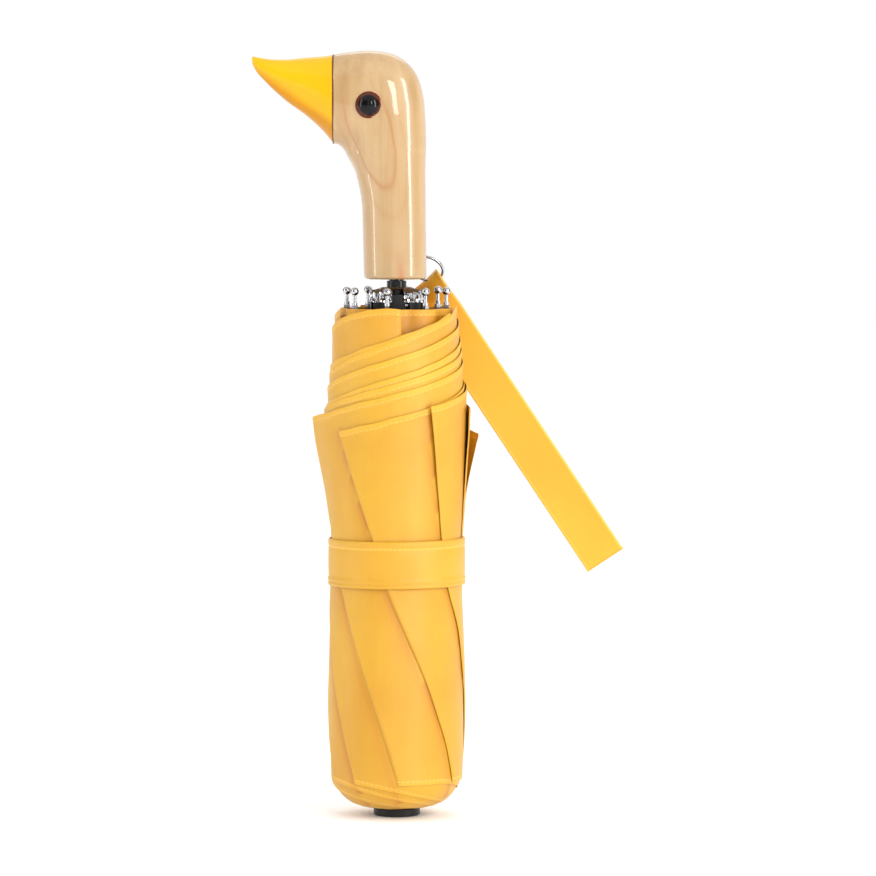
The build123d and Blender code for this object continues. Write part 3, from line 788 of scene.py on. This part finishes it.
def rib_places(s, proud=3.4):
    """Along and outside distances on the three sections for distances s from the crown."""
    s = np.asarray(s, float)
    knee, elbow = s > INNER, s > INNER + MIDDLE
    inner_out = proud + 3.8 * np.exp(-np.maximum(0, s - 2) / 9.0)
    inner_out = inner_out + STEP * smoothstep(s, INNER - 40, INNER - 6)
    outer = np.maximum(0, s - INNER - MIDDLE)
    outer_out = proud + (STEP + 0.2) * np.exp(-outer / 16.0) - 1.0 * smoothstep(outer, 170, 198)
    return {
        "inner_along": np.minimum(s, INNER),
        "inner_out": np.where(knee, STEP, inner_out),
        "middle_along": np.clip(s - INNER, 0, MIDDLE),
        "middle_out": np.where(elbow, -STEP, np.where(knee, proud, 0.0)),
        "outer_along": outer,
        "outer_out": np.where(elbow, outer_out, 0.0),
    }


def open_radius(places):
    """Distance from the shaft of the fully open cloth on a rib."""
    radius = PIVOT[0]
    for k, (_, angle) in enumerate(OPEN_ANGLES):
        c, s = math.cos(math.radians(angle)), math.sin(math.radians(angle))
        radius = radius + places[SECTIONS[2 * k]] * s + places[SECTIONS[2 * k + 1]] * c
    return radius


def open_gore(centre):
    """One gore of the open canopy: taut and nearly flat between two ribs, its hem drawn in."""
    across = np.linspace(-22.5, 22.5, 19)
    rows = np.linspace(0, 1, 84)
    total = INNER + MIDDLE + OUTER
    scallop = 15.0 * (1 - (across / 22.5) ** 2)
    end = total + 1.2 - scallop
    share, turn = np.meshgrid(rows, across, indexing="ij")
    s = -1.5 + share * (end + 1.5)
    places = {k: v.ravel() for k, v in rib_places(s).items()}
    flat = math.cos(math.radians(22.5)) / np.cos(np.radians(turn))
    pull = 1 - 0.012 * (1 - (turn / 22.5) ** 2) * np.sin(np.pi * np.clip(share, 0, 1)) ** 0.7
    radius = open_radius(rib_places(s))
    places["spread"] = (flat * pull).ravel()
    places["turn"] = (centre + turn).ravel()
    weave = np.stack([np.radians(turn) * radius, s], axis=-1).reshape(-1, 2)
    hem = (end - s).ravel()
    run = (np.radians(turn) * radius).ravel()
    return places, weave, hem, run, len(rows), len(across)


def open_band(centre):
    """The closing band when the umbrella is open: it lies along the middle of one gore."""
    total = INNER + MIDDLE + OUTER - 15.0
    down = np.linspace(0, 1, 60)
    heights = np.linspace(-10, 10, 9)
    share, side = np.meshgrid(down, heights, indexing="ij")
    s = total - 4 - share * 190.0
    radius = open_radius(rib_places(s)) * math.cos(math.radians(22.5))
    turn = np.degrees(side / radius)
    places = {k: v.ravel() for k, v in rib_places(s, 4.6).items()}
    flat = math.cos(math.radians(22.5)) / np.cos(np.radians(turn))
    places["spread"] = flat.ravel() * 0.992
    places["turn"] = (centre + turn).ravel()
    weave = np.stack([(s - total).ravel(), side.ravel() + 10], axis=1)
    hem = np.abs(side.ravel() - 7) + 2.35
    return places, weave, hem, (s - total).ravel(), len(down), len(heights)


def opening_group():
    """Shows the tied cloth at rest, and once the runner has moved, the cloth laid on the ribs."""
    group = bpy.data.node_groups.new("opening_cloth", "GeometryNodeTree")
    group.interface.new_socket("Geometry", in_out="INPUT", socket_type="NodeSocketGeometry")
    group.interface.new_socket("Geometry", in_out="OUTPUT", socket_type="NodeSocketGeometry")
    nodes, links = group.nodes, group.links

    def put(socket, value):
        if isinstance(value, bpy.types.NodeSocket):
            links.new(value, socket)
        else:
            socket.default_value = value

    def math_node(operation, a, b=0.0, c=0.0):
        made = nodes.new("ShaderNodeMath")
        made.operation = operation
        for socket, value in zip(made.inputs, (a, b, c)):
            put(socket, value)
        return made.outputs[0]

    def stored(name):
        made = nodes.new("GeometryNodeInputNamedAttribute")
        made.data_type = "FLOAT"
        made.inputs["Name"].default_value = name
        return made.outputs["Attribute"]

    info = nodes.new("GeometryNodeObjectInfo")
    info.transform_space = "ORIGINAL"
    info.inputs["Object"].default_value = bpy.data.objects["body:runner"]
    split = nodes.new("ShaderNodeSeparateXYZ")
    links.new(info.outputs["Location"], split.inputs[0])
    opening = math_node("DIVIDE", split.outputs[2], -RUNNER_TRAVEL * MM)
    is_open = math_node("GREATER_THAN", opening, 0.02)
    off = math_node("ABSOLUTE", math_node("SUBTRACT", stored("open"), is_open))
    wrong = math_node("GREATER_THAN", off, 0.5)

    radius, height = PIVOT[0] * MM, PIVOT[1] * MM
    for k, (closed, opened) in enumerate(OPEN_ANGLES):
        angle = math_node("MULTIPLY_ADD", opening, math.radians(opened - closed), math.radians(closed))
        c, s = math_node("COSINE", angle), math_node("SINE", angle)
        along, out = stored(SECTIONS[2 * k]), stored(SECTIONS[2 * k + 1])
        outwards = math_node("MULTIPLY_ADD", along, s, math_node("MULTIPLY", out, c))
        upwards = math_node("SUBTRACT", math_node("MULTIPLY", along, c), math_node("MULTIPLY", out, s))
        radius = math_node("ADD", radius, outwards)
        height = math_node("ADD", height, upwards)
    radius = math_node("MULTIPLY", radius, stored("spread"))
    turn = stored("turn")
    place = nodes.new("ShaderNodeCombineXYZ")
    put(place.inputs[0], math_node("MULTIPLY", radius, math_node("SINE", turn)))
    put(place.inputs[1], math_node("MULTIPLY", radius, math_node("MULTIPLY", math_node("COSINE", turn), -1.0)))
    put(place.inputs[2], height)

    lay = nodes.new("GeometryNodeSetPosition")
    put(lay.inputs["Selection"], math_node("GREATER_THAN", stored("open"), 0.5))
    put(lay.inputs["Position"], place.outputs[0])
    drop = nodes.new("GeometryNodeDeleteGeometry")
    drop.domain = "POINT"
    put(drop.inputs["Selection"], wrong)
    links.new(nodes.new("NodeGroupInput").outputs[0], drop.inputs["Geometry"])
    links.new(drop.outputs[0], lay.inputs["Geometry"])
    links.new(lay.outputs[0], nodes.new("NodeGroupOutput").inputs[0])
    return group


def cloth_object(name, tied, opened, material, group, thickness):
    """One object that holds the tied and the open cloth and shows one of them.

    The open cloth's points start in one place, so its mesh is not validated as in new_mesh.
    """
    points, weave, hem, run, shade, faces = tied
    tied_count = len(points)
    stores = {"hem": [hem], "run": [run], "shade": [shade]}
    laid = {key: [np.zeros(tied_count)] for key in (*SECTIONS, "spread", "turn", "open")}
    weaves, start = [weave], tied_count
    for places, open_weave, open_hem, open_run, rows, columns in opened:
        count = rows * columns
        faces = faces + grid_faces(rows, columns, start=start, flip=True)
        start += count
        weaves.append(open_weave)
        for key, value in (("hem", open_hem), ("run", open_run), ("shade", np.zeros(count))):
            stores[key].append(value)
        for key in SECTIONS:
            laid[key].append(places[key] * MM)
        laid["spread"].append(places["spread"])
        laid["turn"].append(np.radians(places["turn"]))
        laid["open"].append(np.ones(count))
    everything = np.concatenate([points, np.tile(points[:1], (start - tied_count, 1))])
    cloth = bpy.data.meshes.new(name)
    cloth.from_pydata((everything * MM).tolist(), [], faces)
    cloth.shade_smooth()
    obj = bpy.data.objects.new(name, cloth)
    bpy.context.scene.collection.objects.link(obj)
    cloth.materials.append(material)
    put_uv(obj, np.concatenate(weaves))
    for key, values in (stores | laid).items():
        put_attribute(obj, key, np.concatenate(values))
    obj.modifiers.new("opening", "NODES").node_group = group
    if thickness:
        thick = obj.modifiers.new("cloth", "SOLIDIFY")
        thick.thickness, thick.offset = thickness * MM, -1.0
    return obj


def make_canopy(material, group):
    gores = [open_gore(RIB_TURNS[0] + 22.5 + 45 * k) for k in range(8)]
    return cloth_object("canopy_cloth", make_furled(), gores, material, group, 0.1)


def make_band(material, group):
    """Strap of doubled cloth once round the packet, its end overlapping at the back."""
    turns = np.linspace(150, 150 + 392, 200)
    profile = (  # height above the band's lower edge, how far out it stands
        (0.0, 0.0), (0.0, 0.62), (0.5, 0.95), (1.2, 0.98), (1.7, 0.66), (2.3, 0.98), (3.2, 1.0), (3.9, 0.66),
        (5.0, 0.72), (9.0, 0.8), (13.0, 0.78), (16.2, 0.72), (16.8, 0.5), (17.4, 0.74), (19.0, 0.8),
        (19.8, 0.66), (20.1, 0.3), (20.1, 0.0),
    )
    low = 99.4
    points, weave, hem = [], [], []
    for h, out in profile:
        z = low + h + 0.25 * np.sin(np.radians(turns * 1.0 + 40))
        over = 0.9 * smoothstep(turns, 150 + 345, 150 + 372)
        radius = spline(ENVELOPE, np.full(turns.shape, 109.0))[..., 0] + 0.42 + out + over
        radius = radius + 0.12 * wobble(turns, z, 22.0, 3)
        theta = np.radians(turns)
        points.append(np.stack([radius * np.sin(theta), -radius * np.cos(theta), z], axis=1))
        weave.append(np.stack([turns * 0.51, np.full(turns.shape, h)], axis=1))
        hem.append(np.full(turns.shape, abs(h - 16.8) + 2.35))
    rows, columns = len(profile), len(turns)
    faces = grid_faces(rows, columns)
    faces += [((rows - 1) * columns + j, (rows - 1) * columns + j + 1, j + 1, j) for j in range(columns - 1)]
    faces.append(tuple(i * columns for i in range(rows)))
    faces.append(tuple(i * columns + columns - 1 for i in range(rows))[::-1])
    weave = np.concatenate(weave)
    tied = [np.concatenate(points), weave, np.concatenate(hem), weave[:, 0], np.zeros(len(weave)), faces]
    return cloth_object("closing_band_cloth", tied, [open_band(RIB_TURNS[0] + 292.5)], material, group, 0)


# ---- strap -------------------------------------------------------------------------------------
HOOK = np.array([18.79, 19.6, 230.41])  # where the ribbon hangs on the ring
STRAP_TOP = np.array([11.6, 27.6, 226.2])
STRAP_END = np.array([90.5, 33.0, 106.9])


def make_strap(material):
    """Ribbon folded double: up one side, through the ring, and down the other."""
    along = STRAP_END - STRAP_TOP
    length = float(np.linalg.norm(along))
    along = along / length
    across = np.array([-along[2], 0.0, along[0]])
    across /= np.linalg.norm(across)
    normal = np.cross(along, across)
    widths = np.linspace(-9.2, 9.2, 25)
    stations = np.concatenate([np.linspace(0, 16, 17)[:-1], np.linspace(16, length, 60)])
    sheets = []
    for side in (-1, 1):
        rows = []
        for s in stations:
            gather = 1 - smoothstep(s, 0, 15)
            centre = STRAP_TOP + along * s
            apex = HOOK + np.array([-1.2, -1.6 * side - 0.2, 2.4])
            w = widths * (1 - 0.1 * gather)
            # At its top the ribbon's outer corner hangs on the ring and the other one sags.
            line = centre + across * w[:, None]
            lift = np.clip(widths / 9.2 * 0.5 + 0.5, 0, 1) ** 2.0
            corner = apex + along * s
            line = line + (corner - (centre + across * w[-1])) * (lift * gather)[:, None]
            wave_out = 0.35 * np.sin(s / 23.0 + 0.6) + 0.5 * gather * np.sin(widths / 2.2)
            spread = side * (0.42 + 0.25 * math.sin(math.pi * min(1.0, s / length)))
            curl = 0.35 * (widths / 9.2) ** 2
            apart = spread * (1 - smoothstep(s, length - 4, length))
            rows.append(line + normal * (wave_out + apart + curl)[:, None])
        sheets.append(np.array(rows))
    back, front = sheets
    over = (back[0] + front[0]) / 2 - along * 1.1
    loop = np.concatenate([[over], front, back[::-1], [over]])
    rows, columns = loop.shape[:2]
    faces = grid_faces(rows, columns)
    weave_along = np.concatenate([[-1.5], stations, (2 * length - stations)[::-1], [2 * length + 1.5]])
    weave = np.stack(np.meshgrid(weave_along, widths, indexing="ij"), axis=-1).reshape(-1, 2)
    strap = new_mesh("wrist_strap_ribbon", loop.reshape(-1, 3), faces, material)
    put_uv(strap, weave)
    shade = 0.75 * (1 - smoothstep(np.minimum(weave[:, 0], 2 * length - weave[:, 0]), 4, 34))
    shade = shade * (0.55 - 0.45 * np.clip(weave[:, 1] / 9.2, -1, 1))
    put_attribute(strap, "shade", shade)
    thick = strap.modifiers.new("ribbon", "SOLIDIFY")
    thick.thickness, thick.offset = 0.45 * MM, 0.0
    return strap


# ---- runner cover ------------------------------------------------------------------------------
def make_cover(material):
    """Pressed bright cover on the runner, creased where the ribs' ends push on it."""
    count = 160
    turns = np.linspace(0, 360, count, endpoint=False)
    profile = (
        (4.9, 226.25), (6.4, 226.6), (7.6, 225.9), (9.0, 225.4), (10.4, 225.0), (11.5, 224.3), (12.0, 223.2),
        (12.0, 222.0), (11.8, 221.0), (12.1, 220.3),
    )
    rows = []
    for k, (r, z) in enumerate(profile):
        crease = smoothstep(k, 1, 4)
        fold = np.abs(((turns * 20 / 360) % 1) - 0.5) * 4 - 1
        crumple = wobble(turns, turns * 0 + k * 7.0, 5.0, 44)
        crumple = crumple + 0.6 * wobble(turns, turns * 0 + k * 11.0, 2.5, 45)
        radius = r + crease * (0.35 * fold + 0.45 * crumple)
        height = z + crease * (0.25 * fold * (k < 7) + 0.3 * crumple)
        if k < 7:
            height = np.maximum(height, 223.9 - (k == 6) * 0.6)
        radius = np.maximum(radius, 11.65) if k >= 6 else radius
        theta = np.radians(turns)
        rows.append(np.stack([radius * np.sin(theta), -radius * np.cos(theta), height], axis=1))
    vertices = np.concatenate(rows)
    # The cover is split at the front and at the back, where the black runner shows.
    split = (np.abs(((turns - 1.7 + 90) % 180) - 90) < 12.5)
    faces = grid_faces(len(profile), count, closed=True)
    faces = [f for f in faces if f[0] < 2 * count or not split[f[0] % count]]
    cover = new_mesh("runner_cover", vertices, faces, material, smooth=False)
    thick = cover.modifiers.new("plate", "SOLIDIFY")
    thick.thickness, thick.offset = 0.25 * MM, 1.0
    return cover


# ---- build -------------------------------------------------------------------------------------
make_camera()
make_studio()
make_dark_cards()

floor = new_mesh(
    "floor", [(-6000, -4000, 0), (6000, -4000, 0), (6000, 6000, 0), (-6000, 6000, 0)], [(0, 1, 2, 3)],
    floor_surface(),
)

chrome = metal_surface("chrome_plate", (0.60, 0.60, 0.62), 0.05, 0.08)
rib_steel = metal_surface("rib_steel", (0.5, 0.5, 0.52), 0.22, 0.2)
steel = metal_surface("zinc_steel", (0.62, 0.62, 0.63), 0.25, 0.2)
black_metal = metal_surface("black_enamel", (0.012, 0.012, 0.013), 0.18, 0.15, lacquered=True)
black_plastic = plastic_surface("black_plastic", (0.012, 0.012, 0.012), 0.3)
maple = maple_surface()
glue = plastic_surface("dark_glue", (0.10, 0.035, 0.012), 0.35)
eye_rim = plastic_surface("eye_rim", (0.085, 0.015, 0.008), 0.2)
canopy_cloth = cloth_surface("canopy_cloth", (0.66, 0.36, 0.014), (0.57, 0.27, 0.004))
band_cloth = cloth_surface("band_cloth", (0.67, 0.365, 0.016), (0.60, 0.29, 0.006), period=0.8)

for name, node in frame["nodes"].items():
    if name.startswith("rib_tip") or name in ("strap_ring", "screw_eye"):
        paint = chrome
    elif name.startswith(("rib_", "stretcher_")):
        paint = rib_steel
    elif name in ("outer_tube", "middle_tube", "inner_tube"):
        paint = black_metal
    elif name in ("crown_wire", "runner_catch", "handle_pin"):
        paint = steel
    elif name == "beak_dowel":
        paint = maple
    else:
        paint = black_plastic
    node.data.materials.clear()
    node.data.materials.append(paint)

head = make_head(maple)
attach(head, "handle")
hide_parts("handle_head")

beak = make_beak(lacquer_surface())
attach(beak, "handle")
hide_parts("beak")

glue_line = make_glue_line(glue)
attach(glue_line, "handle")

eye_glass = eye_surface()
for name, side in (("eye_left", -1), ("eye_right", 1)):
    ball, seat = make_eye(f"{name}_glass", side, eye_glass, eye_rim)
    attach(ball, "handle")
    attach(seat, "handle")
    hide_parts(name)

opening = opening_group()
canopy = make_canopy(canopy_cloth, opening)
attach(canopy, "shaft_top")
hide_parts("canopy")

band = make_band(band_cloth, opening)
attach(band, "shaft_top")
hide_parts("closing_band")

strap = make_strap(ribbon_surface())
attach(strap, "wrist_strap")
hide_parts("wrist_strap")

cover = make_cover(chrome)
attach(cover, "runner")
